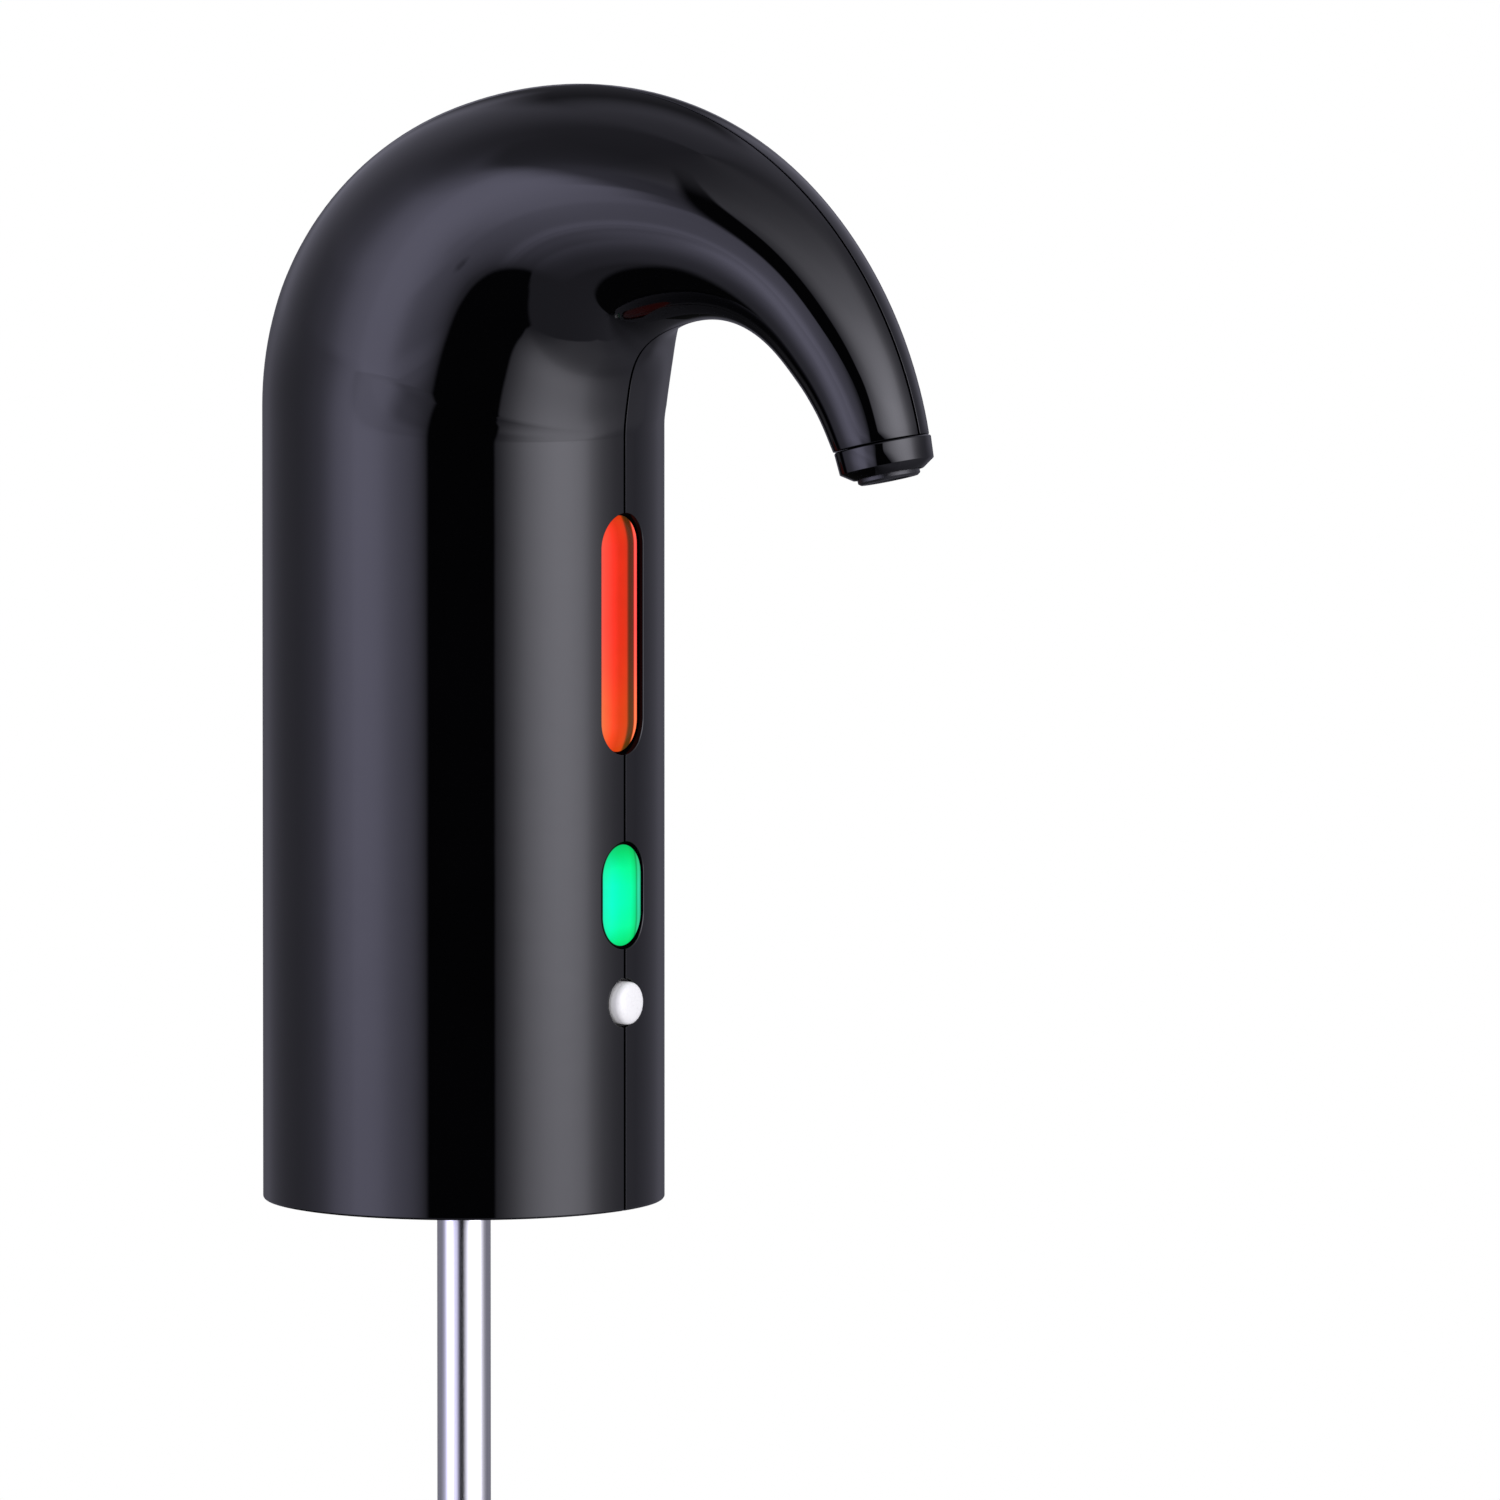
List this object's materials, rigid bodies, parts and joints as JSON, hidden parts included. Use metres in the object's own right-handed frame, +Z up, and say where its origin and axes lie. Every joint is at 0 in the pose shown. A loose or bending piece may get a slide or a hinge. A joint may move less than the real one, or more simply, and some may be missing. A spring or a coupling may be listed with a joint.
{
  "type": "electric wine decanter",
  "caption": "Battery pump that stands on a bottle's neck and pours through a bent spout, with a telescopic suction tube and sprung controls along its front seam.",
  "frame": {"origin": "centre of the housing's lower rim, where the bottle's neck enters the socket", "axes": "+Z up along the bottle's neck, +X the way the spout points, the two housing halves meet on Y = 0"},
  "size_m": [0.1152, 0.06, 0.261],
  "materials": {
    "gloss_black": "high gloss piano black",
    "matte_black": "fine moulded texture",
    "red_lens": "clear gloss, lit from behind",
    "green_lens": "clear gloss, lit from behind",
    "white_cap": "satin",
    "silicone": "soft matte",
    "steel": "fine brushed",
    "natural_plastic": "moulded natural",
    "brass": "machined",
    "ferrite": "sintered, dull",
    "copper": "enamelled winding",
    "cell_wrap": "shrink film over metal",
    "board_green": "solder mask",
    "led_resin": "clear resin"
  },
  "bodies": {
    "housing": {"housing_left": "gloss_black", "housing_right": "gloss_black", "base_cover": "matte_black", "base_screw_1": "steel", "base_screw_2": "steel", "base_screw_3": "steel", "base_screw_4": "steel", "seat_gasket": "silicone", "bottle_stopper": "silicone", "inlet_manifold": "natural_plastic", "inlet_seal": "silicone", "tube_upper": "steel", "pump_cover": "natural_plastic", "pump_body": "natural_plastic", "shaft_seal": "silicone", "idler_pin": "steel", "pump_screw_1": "steel", "pump_screw_2": "steel", "motor_mount": "matte_black", "motor_can": "steel", "motor_endcap": "matte_black", "motor_magnet_front": "ferrite", "motor_magnet_back": "ferrite", "motor_screw_1": "steel", "motor_screw_2": "steel", "outlet_elbow": "natural_plastic", "outlet_hose": "silicone", "hose_clip_pump": "steel", "hose_clip_nozzle": "steel", "spout_ring": "gloss_black", "nozzle": "matte_black", "nozzle_seal": "silicone", "battery_cell": "cell_wrap", "battery_holder": "matte_black", "battery_contact_negative": "steel", "battery_contact_positive": "steel", "control_board": "board_green", "board_screw_1": "steel", "board_screw_2": "steel", "pour_switch": "matte_black", "aerate_switch": "matte_black", "power_switch": "matte_black", "pour_led_upper": "led_resin", "pour_led_lower": "led_resin", "aerate_led": "led_resin", "charge_port": "steel", "charge_board": "board_green"},
    "pour_key": {"pour_key": "red_lens", "pour_plunger": "matte_black"},
    "aerate_key": {"aerate_key": "green_lens", "aerate_plunger": "matte_black"},
    "power_button": {"power_button": "white_cap", "power_plunger": "matte_black"},
    "pump_rotor": {"motor_rotor": "copper", "shaft_coupling": "brass", "drive_gear": "steel"},
    "pump_idler": {"idler_gear": "steel"},
    "tube_middle": {"tube_middle": "steel"},
    "tube_lower": {"tube_lower": "steel", "tube_foot": "matte_black"}
  },
  "joints": [
    {"name": "pour_key_press", "type": "slide", "parent": "housing", "child": "pour_key", "axis": [-1, 0, 0], "range_m": [0, 0.0006], "stiffness_N_per_m": 400},
    {"name": "aerate_key_press", "type": "slide", "parent": "housing", "child": "aerate_key", "axis": [-1, 0, 0], "range_m": [0, 0.0006], "stiffness_N_per_m": 400},
    {"name": "power_button_press", "type": "slide", "parent": "housing", "child": "power_button", "axis": [-1, 0, 0], "range_m": [0, 0.0006], "stiffness_N_per_m": 400},
    {"name": "pump_spin", "type": "hinge", "parent": "housing", "child": "pump_rotor", "pos_m": [0.004, -0.0032, 0.06], "axis": [0, 0, 1], "continuous": true},
    {"name": "idler_spin", "type": "hinge", "parent": "housing", "child": "pump_idler", "pos_m": [-0.004, -0.0032, 0.033], "axis": [0, 0, 1], "continuous": true},
    {"name": "tube_middle_slide", "type": "slide", "parent": "housing", "child": "tube_middle", "axis": [0, 0, -1], "range_m": [0, 0.083]},
    {"name": "tube_lower_slide", "type": "slide", "parent": "tube_middle", "child": "tube_lower", "axis": [0, 0, -1], "range_m": [0, 0.081]}
  ],
  "couplings": [
    {"joint": "idler_spin", "follows": "pump_spin", "ratio": -1}
  ]
}
